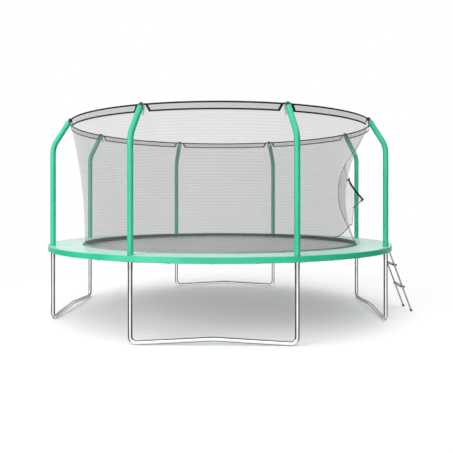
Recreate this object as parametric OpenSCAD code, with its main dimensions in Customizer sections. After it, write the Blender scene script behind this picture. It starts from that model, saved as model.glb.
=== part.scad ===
// Round outdoor trampoline with a full-height safety net and a hook-on ladder.
// Millimetres, +Z up. The origin is on the ground, on the axis of the round frame.
// The ladder and the net's door face +X. Posts are numbered anticlockwise seen from above,
// starting with the left one of the two that face -Y.

/* [Frame] */
// Diameter of the round top frame, on the centre line of its tube
frame_d = 4570; // [3800:10:5200]
// Height of the rail's centre above the ground
frame_h = 897; // [800:1:1080]
// Outer diameter of the rails, legs and bases
tube_d = 50; // [45:1:60]
// Wall of the rails, legs and bases
tube_wall = 1.5; // [1.2:0.1:2]
// Gap all round between a tube and the socket that holds it
socket_gap = 0.3; // [0.2:0.05:0.4]
// Wall of the tee's cross sleeve
tee_wall = 2.7; // [2.5:0.1:4]
// Length of the tee's cross sleeve to each side of the post
tee_arm = 110; // [80:1:160]
// Distance from the rail's centre down to the end of the tee's collar
tee_drop = 101; // [70:1:130]
// Length of each reduced tube end inside the next tube
spigot_l = 78; // [65:1:85]

/* [Legs] */
// Height of the joint between a leg post and its base
leg_joint_h = 182; // [180:1:230]
// Radius of the base's corner bends, on the centre line
base_bend_r = 70; // [60:1:72]
// Height that the middle of a base is lifted
base_lift = 45; // [25:1:80]
// Radius of the bend in the middle of a base
base_apex_r = 300; // [200:10:600]
// Distance of each screw below its tube joint
screw_drop = 18; // [14:1:26]
// Diameter of the screws
screw_d = 6; // [5:0.5:8]

/* [Net poles] */
// Outer diameter of the steel net poles
pole_d = 38; // [32:1:40]
// Wall of the net poles
pole_wall = 1.5; // [1.2:0.1:2]
// Height of the net ring above the ground
ring_h = 2564; // [2200:1:3000]
// Distance that the pole tops lean in from the frame circle
ring_inset = 212; // [160:1:260]
// Angle that the pole tops lean in from the vertical
pole_lean = 31; // [26:1:38]
// Radius of the bend in a pole, on its centre line
pole_bend_r = 300; // [150:10:400]
// Outer diameter of the foam sleeves
sleeve_d = 68; // [60:1:80]
// Gap all round between a foam sleeve and its pole
sleeve_gap = 0.3; // [0.2:0.1:1]
// Length of bare pole and cap above a foam sleeve, to the cap's centre
sleeve_stop = 35; // [32:1:50]
// Diameter of the ball of a pole cap
cap_d = 52; // [50:1:60]
// Diameter of the flexible rods of the net ring
rod_d = 10; // [8:0.5:12]

/* [Mat and springs] */
// Thickness of the jumping mat
mat_t = 3; // [2:0.5:5]
// Width of the mat's doubled edge
mat_edge_w = 150; // [140:1:200]
// Length of a fitted spring from the frame to its ring on the mat
spring_span = 215; // [165:1:240]
// Outer diameter of the spring coils
spring_d = 24; // [18:1:28]
// Length of a triangular ring at the mat's edge
vring_l = 38; // [30:1:50]
// Springs between two posts
springs_per_bay = 12; // [8:1:14]

/* [Pad] */
// Thickness of the foam pad
pad_t = 24; // [15:1:35]
// Distance that the pad covers the edge of the mat
pad_overlap = 110; // [60:1:160]
// Distance that the pad stands out from the centre line of the frame
pad_overhang = 59; // [57:1:75]
// Drop of the skirt below the pad's underside
skirt_drop = 45; // [30:1:48]
// Thickness of the skirt
skirt_t = 2.5; // [1.5:0.5:4]

/* [Net] */
// Thickness of the net, its flaps and its hem
net_t = 4; // [2:0.5:6]
// Gap between the pad's inner edge and the hem of the net
hem_gap = 14; // [8:1:30]
// Height of the hem band
hem_w = 50; // [30:1:70]
// Height of the hem above the mat
hem_lift = 15; // [10:1:25]
// Hooks along the hem between two posts
hooks_per_bay = 6; // [4:1:12]
// Height of the folded flaps at the ring
flap_w = 90; // [60:1:120]
// Height of the top of the open zip above the net's foot
zip_top = 1073; // [950:1:1100]
// Height above the net's foot at which the zip's curve runs out into a straight line
zip_bend = 318; // [250:1:400]
// Height above the net's foot at which the open edge lies deepest
zip_mid = 676; // [600:1:750]
// Distance that the open edge is pulled in from the wall at its deepest
zip_pull = 288; // [150:1:300]
// Radius of the zip's curve
zip_r = 845; // [700:5:1000]
// Width of the zip tape on each side of the doorway
zip_w = 26; // [20:1:36]
// Distance of the doorway's front edge from the middle of its bay
zip_offset = 30; // [0:1:60]
// Distance of the loose flap's edge behind the middle of the bay
flap_offset = 150; // [100:1:240]
// Distance that the loose flap's tip stands out from the wall
flap_out = 100; // [40:1:130]
// Height of that tip above the net's foot
flap_tip = 583; // [500:1:650]
// Height above the net's foot of the loose flap's lower corner
flap_lift = 210; // [120:1:260]

/* [Ladder] */
// Distance between the centre lines of the ladder's two rails
ladder_w = 370; // [300:10:440]
// Outer diameter of the ladder's tubes
ladder_tube_d = 20; // [18:0.5:20.5]
// Angle of the ladder from the vertical
ladder_slope = 20.2; // [18:0.1:24]
// Height of the lower step's top
step_h = 350; // [300:5:400]
// Distance between the two steps
step_rise = 300; // [250:5:320]
// Depth of a step
step_depth = 60; // [50:1:90]

/* [Hidden] */
$fn = 48;
clear = 0.3;
bays = 8;
bay = 360 / bays;
fine = 360;
frame_r = frame_d / 2;
// cross sleeves, collars and spigots
tee_d = tube_d + 2 * socket_gap + 2 * tee_wall;
collar_d = tube_d + 4;
spigot_d = tube_d - 2 * tube_wall - 2 * socket_gap;
spigot_wall = 1.5;
tee_top = frame_h + tee_d / 2;
rail_stop = 34;
pole_seat = frame_h - 15;
leg_top = frame_h - tee_drop;
// net poles
ring_r = frame_r - ring_inset;
lean_corner_h = ring_h - ring_inset / tan(pole_lean);
lean_tangent = pole_bend_r * tan(pole_lean / 2);
lean_reach = ring_inset / sin(pole_lean) - lean_tangent;
pole_stop = rod_d / 2 + 3;
// pad, mat and springs
hook_gap = 1;
hook_t = 2;
pad_bottom = frame_h + max(tee_d / 2, tube_d / 2 + hook_gap + hook_t) + 0.5;
pad_top = pad_bottom + pad_t;
pad_r = frame_r + pad_overhang;
spring_out = frame_r - tube_d / 2 - clear;
spring_in = spring_out - spring_span;
vring_out = spring_in - clear;
vring_t = 5;
vring_w = 48;
vring_tip = 14;
spring_hook_d = 8;
spring_hook_l = 20;
mat_r = vring_out - vring_l - clear;
mat_top = frame_h + mat_t / 2;
pad_in_r = mat_r - pad_overlap;
// net
hem_r = pad_in_r - hem_gap;
hem_low = mat_top + hem_lift;
hem_top = hem_low + hem_w;
net_low = hem_top + clear;
net_high = ring_h - 30;
net_high_r = ring_r - 30;
net_rise = net_high - net_low;
net_tilt = atan((net_high_r - hem_r) / net_rise);
// half of the angle between two net panels
seam_half = 0.01;
flap_end = 70;
flap_knee = 35;
hem_hook_d = 5;
// doorway: the zip's curve lies in a plane across X, around a centre outside the net
zip_y = -zip_offset - zip_w / 2;
slider_park = 2.5;
slider_l = 26;
slider_w = 14;
slider_t = 8;
strap_t = 6;
strap_l = 270;
flap_start = 290;
flap_back = 180;
strip_gap = 1.2;
cloth_rows = 32;
cloth_columns = 8;
// ladder, hooked over the frame tube at the two places where its rails meet it
ladder_x = sqrt(frame_r * frame_r - ladder_w * ladder_w / 4);
ladder_off = tube_d / 2 + hook_gap + ladder_tube_d / 2;
ladder_cut = 60;
foot_d = ladder_tube_d + 8;
foot_l = 34;
ladder_len = (frame_h + ladder_off * sin(ladder_slope)) / cos(ladder_slope);
step_side = ladder_w / 2 - ladder_tube_d / 2 - clear;
step_t = 20;
// the posts of each base, by the first of its two posts
BASES = [["front", 1], ["right", 3], ["back", 5], ["left", 7]];
STEEL = [0.78, 0.79, 0.8];
ZINC = [0.66, 0.68, 0.7];
GREEN = [0.18, 0.75, 0.55];
NET = [0.75, 0.75, 0.76];
BLACK = [0.12, 0.12, 0.13];
BRASS = [0.85, 0.7, 0.3];

function post_angle(i) = -90 - bay / 2 + bay * (i - 1);
// angle that a length of arc takes at a radius
function arc_angle(length, radius) = length / radius * 180 / PI;
// x of the ladder's centre line at a height
function ladder_x_at(h) =
    ladder_x + ladder_off / cos(ladder_slope) + (frame_h - h) * tan(ladder_slope);

module at_post(i) rotate([0, 0, post_angle(i)]) translate([frame_r, 0, 0]) children();

module at_every_post() for (i = [1:bays]) rotate([0, 0, (i - 1) * bay]) at_post(1) children();

module ring_profile(outer, inner)
    difference() {
        circle(d = outer);
        circle(d = inner);
    }

// part of a hoop around the Z axis, between two angles
module hoop(from, to, radius, height)
    rotate([0, 0, from])
        rotate_extrude(angle = to - from, $fn = fine)
            translate([radius, height])
                children();

// a bend that starts at the origin, going up, and turns towards -X
module bend(radius, angle)
    translate([-radius, 0, 0])
        rotate([90, 0, 0])
            rotate_extrude(angle = angle, $fn = 96)
                translate([radius, 0])
                    children();

// ---- frame ----

module rail(i) color(ZINC) {
    stop = arc_angle(rail_stop, frame_r);
    hoop(post_angle(i) + stop, post_angle(i + 1) - stop, frame_r, frame_h)
        ring_profile(tube_d, tube_d - 2 * tube_wall);
}

module tee(i) color(STEEL) difference() {
    arm = arc_angle(tee_arm, frame_r);
    stop = arc_angle(rail_stop - 2, frame_r);
    a = post_angle(i);
    bore = tube_d + 2 * socket_gap;
    union() {
        hoop(a - arm, a + arm, frame_r, frame_h) circle(d = tee_d);
        at_post(i) translate([0, 0, leg_top])
            cylinder(d = collar_d, h = tee_top + 6 - leg_top);
        at_post(i) translate([0, 0, leg_top - spigot_l])
            cylinder(d = spigot_d, h = spigot_l + 10);
    }
    for (side = [-1, 1]) {
        hoop(a + min(side * stop, side * (arm + 1)), a + max(side * stop, side * (arm + 1)),
             frame_r, frame_h) circle(d = bore);
    }
    at_post(i) translate([0, 0, pole_seat])
        cylinder(d = pole_d + 2 * socket_gap, h = tee_top - pole_seat + 10);
    at_post(i) translate([0, 0, leg_top - spigot_l - 1])
        cylinder(d = pole_d - 4, h = pole_seat - leg_top + spigot_l + 2);
    at_post(i) translate([0, 0, leg_top - screw_drop]) screw_hole();
}

// cross hole through the outer side of a tube joint
module screw_hole()
    rotate([0, 90, 0])
        cylinder(d = screw_d + 2 * clear, h = tube_d);

module leg_post(i) color(ZINC) at_post(i) difference() {
    union() {
        translate([0, 0, leg_joint_h])
            cylinder(d = tube_d, h = leg_top - leg_joint_h);
        translate([0, 0, leg_joint_h - spigot_l])
            cylinder(d = spigot_d, h = spigot_l + 10);
    }
    translate([0, 0, leg_joint_h + 10])
        cylinder(d = tube_d - 2 * tube_wall, h = leg_top - leg_joint_h);
    translate([0, 0, leg_joint_h - spigot_l - 1])
        cylinder(d = spigot_d - 2 * spigot_wall, h = spigot_l + 20);
    translate([0, 0, leg_top - screw_drop]) screw_hole();
    translate([0, 0, leg_joint_h - screw_drop]) screw_hole();
}

// W-shaped base for two neighbouring posts: an elbow under each post, two straight runs
// that rise towards the middle, and the bend between them, joined end to end; its two
// halves meet in the middle.
module leg_base(first) color(STEEL) {
    half = frame_r * sin(bay / 2);
    rise = atan(base_lift / (half - base_bend_r));
    corner_h = tube_d / 2 + base_bend_r;
    upright = leg_joint_h - corner_h;
    run = (half - base_bend_r * (1 + sin(rise))) / cos(rise) - base_apex_r * tan(rise);
    rotate([0, 0, post_angle(first) + bay / 2]) translate([frame_r * cos(bay / 2), 0, 0])
        for (end = [0, 180]) rotate([0, 0, end]) {
            difference() {
                base_end(half) tube_straight(upright) tube_bend(base_bend_r, 90 + rise);
                translate([0, -half, leg_joint_h - screw_drop])
                    rotate([0, 0, end + (end == 0 ? -bay / 2 : bay / 2)]) screw_hole();
            }
            base_end(half) after_straight(upright) after_bend(base_bend_r, 90 + rise) {
                tube_straight(run);
                after_straight(run) rotate([0, 0, 180]) tube_bend(base_apex_r, rise);
            }
        }
}

// start of a base's tube: the top of its upright at -Y, with +Z down and -X to the middle
module base_end(half)
    translate([0, -half, leg_joint_h])
        rotate([0, 0, -90]) rotate([180, 0, 0])
            children();

// a straight piece of tube along +Z, with what follows at its far end
module tube_straight(length) {
    linear_extrude(height = length) ring_profile(tube_d, tube_d - 2 * tube_wall);
    after_straight(length) children();
}

// a bent piece of tube that turns towards -X, with what follows at its far end
module tube_bend(radius, angle) {
    bend(radius, angle) ring_profile(tube_d, tube_d - 2 * tube_wall);
    after_bend(radius, angle) children();
}

module after_straight(length) translate([0, 0, length]) children();

module after_bend(radius, angle)
    translate([-radius, 0, 0]) rotate([0, -angle, 0]) translate([radius, 0, 0])
        children();

module frame_screws() color(BRASS)
    at_every_post()
        for (h = [leg_top - screw_drop, leg_joint_h - screw_drop])
            translate([0, 0, h]) rotate([0, 90, 0]) {
                translate([0, 0, spigot_d / 2 - spigot_wall - 2])
                    cylinder(d = screw_d, h = tube_d / 2 - spigot_d / 2 + spigot_wall + 4);
                translate([0, 0, tube_d / 2 + clear]) cylinder(d = screw_d + 7, h = 4);
            }

// ---- net poles ----

// a tube along a net pole, from a height to a distance short of the cap's centre
module pole_path(from_h, stop) {
    upright = lean_corner_h - lean_tangent - from_h;
    translate([0, 0, from_h]) {
        linear_extrude(height = upright) children();
        after_straight(upright) bend(pole_bend_r, pole_lean) children();
        after_straight(upright) after_bend(pole_bend_r, pole_lean)
            linear_extrude(height = lean_reach - stop) children();
    }
}

// frame with its origin at the cap's centre and +Z along the leaning part of the pole
module at_lean()
    translate([-ring_inset, 0, ring_h])
        rotate([0, -pole_lean, 0])
            children();

module net_pole(i) color(STEEL)
    at_post(i) pole_path(pole_seat + clear, pole_stop)
        ring_profile(pole_d, pole_d - 2 * pole_wall);

module pole_sleeves() color(GREEN)
    at_every_post()
        pole_path(pad_top + clear, sleeve_stop)
            ring_profile(sleeve_d, pole_d + 2 * sleeve_gap);

module pole_caps() color(BLACK)
    at_every_post() difference() {
        at_lean() {
            sphere(d = cap_d, $fn = 64);
            translate([0, 0, 4 - sleeve_stop])
                cylinder(d = pole_d + 6, h = sleeve_stop - 4);
        }
        at_lean() translate([0, 0, -sleeve_stop])
            cylinder(d = pole_d + 2 * socket_gap, h = sleeve_stop - pole_stop + clear);
        translate([-ring_inset, 0, ring_h]) rotate([90, 0, 0])
            cylinder(d = rod_d + 2 * socket_gap, h = 2 * cap_d, center = true);
    }

module ring_rods() color(BLACK)
    for (i = [1:bays]) {
        stop = arc_angle(4, ring_r);
        hoop(post_angle(i) + stop, post_angle(i + 1) - stop, ring_r, ring_h) circle(d = rod_d);
    }

// ---- mat, springs and pad ----

// copies all round, evenly set out in each bay; $near tells how far the next post is, in degrees
module around(count)
    for (k = [0:bays * count - 1]) {
        $near = min(k % count + 0.5, count - k % count - 0.5) * bay / count;
        rotate([0, 0, post_angle(1) + (k + 0.5) * bay / count]) children();
    }

// the woven field and, around it, the doubled edge that takes the rings
module mat() color([0.2, 0.2, 0.21]) {
    low = frame_h - mat_t / 2;
    translate([0, 0, low]) cylinder(r = mat_r - mat_edge_w - clear, h = mat_t, $fn = fine);
    hoop_slab(mat_r - mat_edge_w, mat_r, low, mat_top);
}

// triangular steel ring, its wide side at the mat
module mat_rings() color(STEEL)
    around(springs_per_bay) translate([vring_out - vring_l, 0, frame_h - vring_t / 2])
        linear_extrude(height = vring_t) difference() {
            trapezoid(0, vring_w / 2, vring_l, vring_tip / 2);
            trapezoid(vring_t, vring_w / 2 - 1.4 * vring_t, vring_l - vring_t, vring_tip / 2 - 3.5);
        }

// outline with two sides across X, given by the place and the half-length of each
module trapezoid(from, from_half, to, to_half)
    polygon([[from, -from_half], [from, from_half], [to, to_half], [to, -to_half]]);

module springs() color(STEEL)
    around(springs_per_bay) translate([spring_in, 0, frame_h]) rotate([0, 90, 0]) {
        at_tee = $near < arc_angle(tee_arm + spring_hook_d, frame_r);
        cylinder(d = spring_hook_d, h = spring_span - (at_tee ? tee_d / 2 - tube_d / 2 : 0));
        translate([0, 0, spring_hook_l]) cylinder(d = spring_d, h = spring_span - 2 * spring_hook_l);
    }

module pad() color(GREEN) difference() {
    hoop_slab(pad_in_r, pad_r, pad_bottom, pad_top);
    at_every_post() translate([0, 0, pad_bottom - 1]) cylinder(d = collar_d + 4, h = pad_t + 2);
}

module hoop_slab(inner, outer, low, high)
    translate([0, 0, low]) difference() {
        cylinder(r = outer, h = high - low, $fn = fine);
        translate([0, 0, -1]) cylinder(r = inner, h = high - low + 2, $fn = fine);
    }

module pad_skirt() color(GREEN)
    hoop_slab(pad_r - skirt_t, pad_r, pad_bottom - skirt_drop, pad_bottom - clear);

// ---- net ----

// profile of a band of net between two heights, its outer face given by two radii
module net_band(low, low_r, high, high_r)
    polygon([[low_r - net_t, low], [low_r, low], [high_r, high], [high_r - net_t, high]]);

// the panels of every bay but the door's
module net_wall() color(NET)
    for (i = [1:bays]) if (i != 3)
        rotate([0, 0, post_angle(i) + seam_half])
            rotate_extrude(angle = bay - 2 * seam_half, $fn = fine)
                net_band(net_low, hem_r, net_high, net_high_r);

function mix(a, b, k) = a + (b - a) * k;
// smooth step from 0 to 1
function ease(k) = let (c = min(1, max(0, k))) c * c * (3 - 2 * c);
// outer radius of the unpulled wall at a height above the net's foot
function wall_r(h) = mix(hem_r, net_high_r, h / net_rise);
// the zip's curve: its centre's x, and the x of the open edge at a height
function zip_centre() = wall_r(zip_mid) - zip_pull + zip_r;
function zip_arc(h) = zip_centre() - sqrt(zip_r * zip_r - pow(h - zip_mid, 2));
function edge_x(h) =
    h < zip_bend ? mix(hem_r, zip_arc(zip_bend), h / zip_bend)
    : h < zip_top ? zip_arc(h)
    : mix(zip_arc(zip_top), net_high_r, (h - zip_top) / (net_rise - zip_top));
// radius and distance behind the middle of the bay of the loose flap's edge
function flap_r(h) =
    h > zip_top ? edge_x(h)
    : h > flap_tip ? mix(zip_arc(zip_top), wall_r(flap_tip) + flap_out,
                         ease((zip_top - h) / (zip_top - flap_tip)))
    : wall_r(h) + flap_out * ease(1 - (flap_tip - h) / flap_back);
function flap_y(h) = mix(clear - zip_offset, flap_offset, ease((zip_top - h) / flap_start));

// points of the cloth, each [outer radius, angle, height above the ground], by the share of the
// way from a post to the doorway's edge and the share of the height
function front_net(s, t) =
    let (h = t * net_rise, e = edge_x(h))
    [mix(wall_r(h), e, ease(s)),
     mix(seam_half - bay / 2, atan((zip_y - zip_w / 2 - clear) / e), s), net_low + h];
function rear_net(s, t) =
    let (foot = flap_lift * s, h = mix(foot, net_rise, t))
    [mix(wall_r(h), flap_r(h), ease(s)), mix(bay / 2 - seam_half, atan(flap_y(h) / flap_r(h)), s),
     net_low + h];

// closed sheet from rows of such points, low to high and by growing angle, of one thickness
module cloth(rows, t) {
    flat = [for (row = rows) for (p = row) p];
    m = len(rows) - 1;
    k = len(rows[0]) - 1;
    n = len(flat);
    function id(i, j) = i * (k + 1) + j;
    function quad(a, b, c, d) = [[a, b, c], [a, c, d]];
    polyhedron(
        points = [
            for (layer = [0, t]) for (p = flat)
                [(p[0] - layer) * cos(p[1]), (p[0] - layer) * sin(p[1]), p[2]]
        ],
        faces = [
            for (i = [0:m - 1]) for (j = [0:k - 1])
                each quad(id(i, j), id(i + 1, j), id(i + 1, j + 1), id(i, j + 1)),
            for (i = [0:m - 1]) for (j = [0:k - 1])
                each quad(n + id(i, j), n + id(i, j + 1), n + id(i + 1, j + 1), n + id(i + 1, j)),
            for (j = [0:k - 1]) each quad(id(0, j), id(0, j + 1), n + id(0, j + 1), n + id(0, j)),
            for (j = [0:k - 1]) each quad(id(m, j + 1), id(m, j), n + id(m, j), n + id(m, j + 1)),
            for (i = [0:m - 1]) each quad(id(i + 1, 0), id(i, 0), n + id(i, 0), n + id(i + 1, 0)),
            for (i = [0:m - 1]) each quad(id(i, k), id(i + 1, k), n + id(i + 1, k), n + id(i, k))
        ],
        convexity = 8
    );
}

// the two halves of the door's bay: the front one is pulled in, the rear one hangs loose
module net_door() color(NET) {
    cloth([for (i = [0:cloth_rows]) [for (j = [0:cloth_columns])
        front_net(j / cloth_columns, i / cloth_rows)]], net_t);
    cloth([for (i = [0:cloth_rows]) [for (j = [0:cloth_columns])
        rear_net(1 - j / cloth_columns, i / cloth_rows)]], net_t);
}

// row of the loose flap's cloth whose edge is nearest to a height above the net's foot
function flap_row(h) = round((h - flap_lift) / (net_rise - flap_lift) * cloth_rows);

// a strip along the loose flap's edge, over some of the cloth's rows
module flap_strip(first, last, width, out, t)
    cloth([for (i = [first:last])
        let (p = rear_net(1, i / cloth_rows), q = rear_net(1 - 1 / cloth_columns, i / cloth_rows),
             k = arc_angle(width, p[0]) / (q[1] - p[1]), inner = p + (q - p) * k)
        [p + [out, 0, 0], inner + [out, 0, 0]]], t);

// the two rows of the zip, left open, and the seam above it
module zip_tape() color(BLACK) {
    translate([0, zip_y + zip_w / 2, net_low]) rotate([90, 0, 0])
        linear_extrude(height = zip_w)
            polygon([
                for (i = [0:2 * cloth_rows]) let (h = net_rise * i / (2 * cloth_rows)) [edge_x(h), h],
                for (i = [2 * cloth_rows:-1:0]) let (h = net_rise * i / (2 * cloth_rows))
                    [edge_x(h) - net_t, h]
            ]);
    flap_strip(0, flap_row(zip_top) - 1, zip_w, -net_t - 2 * strip_gap, net_t / 2);
}

// frame on the zip's curve: X out from the curve's centre, Y up along it, Z towards the front
module at_slider()
    translate([zip_centre(), zip_y, net_low + zip_mid]) rotate([90, 0, 0])
        rotate([0, 0, 180 - asin((zip_top - zip_mid) / zip_r) + slider_park])
            translate([zip_r - clear - slider_t, 0, 0])
                children();

module zip_slider() color(BRASS)
    at_slider() {
        translate([0, -slider_l / 2, -slider_w / 2]) cube([slider_t, slider_l, slider_w]);
        translate([-2, 0, 0]) rotate([0, 90, 0]) cylinder(d = slider_w / 2, h = 3);
        translate([-4, -4, -slider_w / 4]) cube([2.5, slider_l + 4, slider_w / 2]);
    }

// strap on the outside of the loose flap's edge, above its tip
module door_strap() color(BLACK)
    flap_strip(flap_row(flap_tip), flap_row(flap_tip + strap_l), zip_w, strap_t + strip_gap, strap_t);

module net_flaps() color(BLACK)
    for (i = [1:bays]) {
        a = arc_angle(flap_end, ring_r);
        out = ring_r - rod_d / 2 - clear;
        knee = net_high_r + net_t + clear;
        lean = (flap_w - flap_knee) * tan(net_tilt);
        rotate([0, 0, post_angle(i) + a])
            rotate_extrude(angle = bay - 2 * a, $fn = fine)
                polygon([
                    [out - net_t, ring_h], [out, ring_h],
                    [knee, ring_h - flap_knee], [knee - lean, ring_h - flap_w],
                    [knee - lean - net_t, ring_h - flap_w], [knee - net_t, ring_h - flap_knee]
                ]);
    }

module net_hem() color(BLACK)
    hoop_slab(hem_r - net_t, hem_r, hem_low, hem_top);

module hem_hooks() color(BLACK)
    around(hooks_per_bay) translate([hem_r - net_t / 2, 0, mat_top + clear])
        cylinder(d = hem_hook_d, h = hem_lift - 2 * clear);

// ---- ladder ----

// Frame of one ladder rail: origin on the frame tube's axis, +Z up along the ladder
module at_ladder(side)
    translate([ladder_x, side * ladder_w / 2, frame_h])
        rotate([0, -ladder_slope, 0])
            children();

// tube with a flat strap at its top that hooks over the frame tube
module ladder_rail(side) color(ZINC) difference() {
    hook_r = tube_d / 2 + hook_gap;
    union() {
        at_ladder(side) translate([ladder_off, 0, -ladder_len + 14])
            cylinder(d = ladder_tube_d, h = ladder_len - 14 - ladder_cut);
        at_ladder(side) rotate([90, 0, 0])
            rotate_extrude_strap(hook_r);
        at_ladder(side) translate([hook_r, -9, -ladder_cut - 40])
            cube([hook_t, 18, ladder_cut + 40]);
    }
    at_ladder(side) translate([ladder_off, 0, -ladder_len + 13])
        cylinder(d = ladder_tube_d - 3, h = ladder_len - 12 - ladder_cut);
    for (h = [step_h, step_h + step_rise]) step_bolt_hole(h);
}

// the curved part of the hook, from the front of the frame tube over its top
module rotate_extrude_strap(hook_r)
    rotate_extrude(angle = 150, $fn = 96)
        translate([hook_r, -9])
            square([hook_t, 18]);

module at_step(h)
    translate([ladder_x_at(h - step_t / 2), 0, h - step_t / 2])
        rotate([90, 0, 0])
            children();

module step_bolt_hole(h)
    at_step(h) cylinder(d = 8 + 2 * clear, h = ladder_w + 60, center = true);

// tread: a flat oval tube between the two rails
module ladder_step(h) color(ZINC)
    at_step(h) linear_extrude(height = 2 * step_side, center = true) difference() {
        oval(step_depth, step_t);
        oval(step_depth - 4, step_t - 4);
    }

module oval(w, t) {
    square([w - t, t], center = true);
    for (side = [-1, 1]) translate([side * (w - t) / 2, 0]) circle(d = t);
}

// dark plastic ends on the outer sides of the rails, one for each end of a step
module step_caps() color(BLACK)
    for (h = [step_h, step_h + step_rise]) for (side = [-1, 1]) difference() {
        at_step(h) translate([8, 0, side * (ladder_w / 2 + ladder_tube_d / 2 + 4 + clear)])
            linear_extrude(height = 8, center = true) oval(step_depth - 10, step_t + 8);
        step_bolt_hole(h);
    }

module step_bolts() color(STEEL)
    for (h = [step_h, step_h + step_rise]) for (side = [-1, 1])
        at_step(h) {
            reach = ladder_w / 2 + ladder_tube_d / 2 + 8 + 2 * clear;
            inner = step_side - 16;
            translate([0, 0, side * (reach + inner) / 2])
                cylinder(d = 8, h = reach - inner, center = true);
            translate([0, 0, side * (reach + 3)]) cylinder(d = 15, h = 6, center = true);
        }

// rubber feet, cut flat where they stand on the ground
module ladder_feet() color(BLACK)
    for (side = [-1, 1]) difference() {
        at_ladder(side) translate([ladder_off, 0, -ladder_len - 6])
            cylinder(d = foot_d, h = foot_l + 6);
        at_ladder(side) translate([ladder_off, 0, -ladder_len + 14 - clear])
            cylinder(d = ladder_tube_d + 2 * clear, h = foot_l);
        translate([ladder_x_at(0) - 100, side * ladder_w / 2 - 50, -60])
            cube([200, 100, 60]);
    }

for (i = [1:bays]) {
    rail(i);
    tee(i);
    leg_post(i);
    net_pole(i);
}
for (b = BASES) leg_base(b[1]);
pole_sleeves();
pole_caps();
ring_rods();
frame_screws();
mat();
mat_rings();
springs();
pad();
pad_skirt();
net_wall();
net_door();
net_flaps();
net_hem();
hem_hooks();
zip_tape();
zip_slider();
door_strap();
ladder_rail(-1);  // ladder_rail_front
ladder_rail(1);  // ladder_rail_rear
ladder_step(step_h + step_rise);  // ladder_step_upper
ladder_step(step_h);  // ladder_step_lower
ladder_feet();
step_caps();
step_bolts();
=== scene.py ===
import math
import bpy
from mathutils import Matrix, Vector


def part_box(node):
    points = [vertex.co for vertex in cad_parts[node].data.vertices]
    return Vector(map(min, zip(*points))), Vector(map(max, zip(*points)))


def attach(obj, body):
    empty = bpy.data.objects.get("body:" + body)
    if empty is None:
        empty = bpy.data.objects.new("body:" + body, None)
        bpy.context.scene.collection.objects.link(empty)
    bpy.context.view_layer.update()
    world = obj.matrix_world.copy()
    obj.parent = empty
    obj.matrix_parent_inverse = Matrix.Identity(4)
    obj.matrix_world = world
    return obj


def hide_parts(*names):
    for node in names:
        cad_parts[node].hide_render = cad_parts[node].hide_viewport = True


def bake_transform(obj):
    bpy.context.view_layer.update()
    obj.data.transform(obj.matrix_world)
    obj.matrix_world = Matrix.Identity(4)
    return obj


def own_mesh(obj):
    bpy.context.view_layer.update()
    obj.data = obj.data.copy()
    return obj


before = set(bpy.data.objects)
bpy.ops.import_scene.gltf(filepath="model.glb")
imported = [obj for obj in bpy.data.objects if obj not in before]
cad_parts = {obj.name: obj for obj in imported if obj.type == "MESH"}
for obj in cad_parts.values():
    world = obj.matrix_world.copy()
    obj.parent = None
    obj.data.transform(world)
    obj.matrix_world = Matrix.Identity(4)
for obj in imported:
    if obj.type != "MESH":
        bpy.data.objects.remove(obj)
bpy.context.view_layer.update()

# ---- Viewpoint ----
# A camera at chest height, nearly square to the side that two leg posts share.
# The lens is a normal one, set a little low so that the floor fills the lower part.
lens = bpy.data.cameras.new("viewpoint")
lens.lens, lens.sensor_width = 43.97, 36
lens.shift_x, lens.shift_y = 0.001, -0.0504
viewpoint = bpy.data.objects.new("viewpoint", lens)
bpy.context.collection.objects.link(viewpoint)
viewpoint.location = (0.2795, -7.893, 1.486)
viewpoint.rotation_euler = (math.radians(90), 0, math.radians(1.4563))
bpy.context.scene.camera = viewpoint


# ---- Floor and light ----
# A seamless pale studio floor, one wide soft light overhead and a large soft one in front.
# Dark walls to the sides are seen only in the shine of the metal tubes.
def alone(piece=None):
    """Selects this piece and nothing else, in object mode."""
    if bpy.context.object and bpy.context.object.mode != "OBJECT":
        bpy.ops.object.mode_set(mode="OBJECT")
    bpy.ops.object.select_all(action="DESELECT")
    if piece:
        piece.select_set(True)
        bpy.context.view_layer.objects.active = piece


def new_surface(name):
    surface = bpy.data.materials.new(name)
    surface.use_nodes = True
    return surface, surface.node_tree, surface.node_tree.nodes["Principled BSDF"]


def dial(node, **amounts):
    """Sets a node's inputs. An underscore stands for a space in an input's name."""
    for name, amount in amounts.items():
        node.inputs[name.replace("_", " ")].default_value = amount


def coordinates(tree, kind="Object"):
    return tree.nodes.new("ShaderNodeTexCoord").outputs[kind]


def noise(tree, where, **amounts):
    texture = tree.nodes.new("ShaderNodeTexNoise")
    dial(texture, **amounts)
    tree.links.new(where, texture.inputs["Vector"])
    return texture.outputs["Fac"]


def two_tones(tree, amount, low, dark, high, light):
    """A colour that goes from dark to light as the amount goes from low to high."""
    ramp = tree.nodes.new("ShaderNodeValToRGB")
    for end, at, tone in zip(ramp.color_ramp.elements, (low, high), (dark, light)):
        end.position, end.color = at, (*tone, 1)
    tree.links.new(amount, ramp.inputs["Fac"])
    return ramp.outputs["Color"]


def spread(tree, amount, low, high, **amounts):
    """Stretches an amount to run from low to high."""
    node = tree.nodes.new("ShaderNodeMapRange")
    dial(node, To_Min=low, To_Max=high, **amounts)
    tree.links.new(amount, node.inputs["Value"])
    return node


def maths(tree, operation, *terms):
    """The result of an operation on terms that are sockets or plain numbers."""
    node = tree.nodes.new("ShaderNodeMath")
    node.operation = operation
    for entry, term in zip(node.inputs, terms):
        if isinstance(term, bpy.types.NodeSocket):
            tree.links.new(term, entry)
        else:
            entry.default_value = term
    return node.outputs["Value"]


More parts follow.
